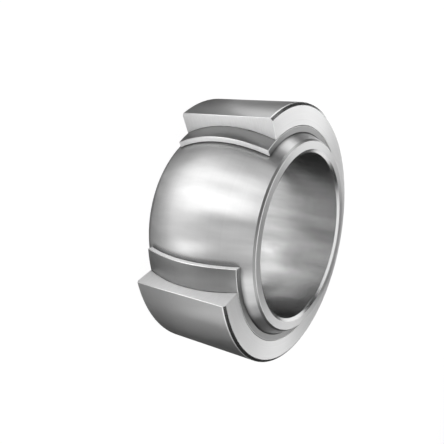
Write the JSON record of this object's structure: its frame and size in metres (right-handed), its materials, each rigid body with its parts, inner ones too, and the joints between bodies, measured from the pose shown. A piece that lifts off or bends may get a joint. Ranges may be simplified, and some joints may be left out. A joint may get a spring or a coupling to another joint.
{
  "type": "spherical plain bearing",
  "caption": "Radial spherical plain bearing: a ball-shaped inner ring turning in a lined outer ring, cut open at one side to show the liner.",
  "frame": {"origin": "centre of the ball, which is the middle of the bore", "axes": "+Z along the bore axis, with the part standing on one end of the inner ring; the cut window faces -Y; +X to the right of it"},
  "size_m": [0.047, 0.0438, 0.022],
  "materials": {
    "outer_ring_steel": "finely turned and ground bearing steel",
    "liner_steel": "formed steel back of the sliding layer, satin",
    "ball_steel": "hardened bearing steel, ball polished, bore and ends ground"
  },
  "bodies": {
    "shaft_side": {"inner_ring": "ball_steel"},
    "housing_side": {"outer_ring": "outer_ring_steel", "liner": "liner_steel"}
  },
  "joints": [
    {"name": "tilt", "type": "hinge", "parent": "shaft_side", "child": "housing_side", "pos_m": [0, 0, 0], "axis": [0, 1, 0], "range_deg": [-6, 6]}
  ]
}
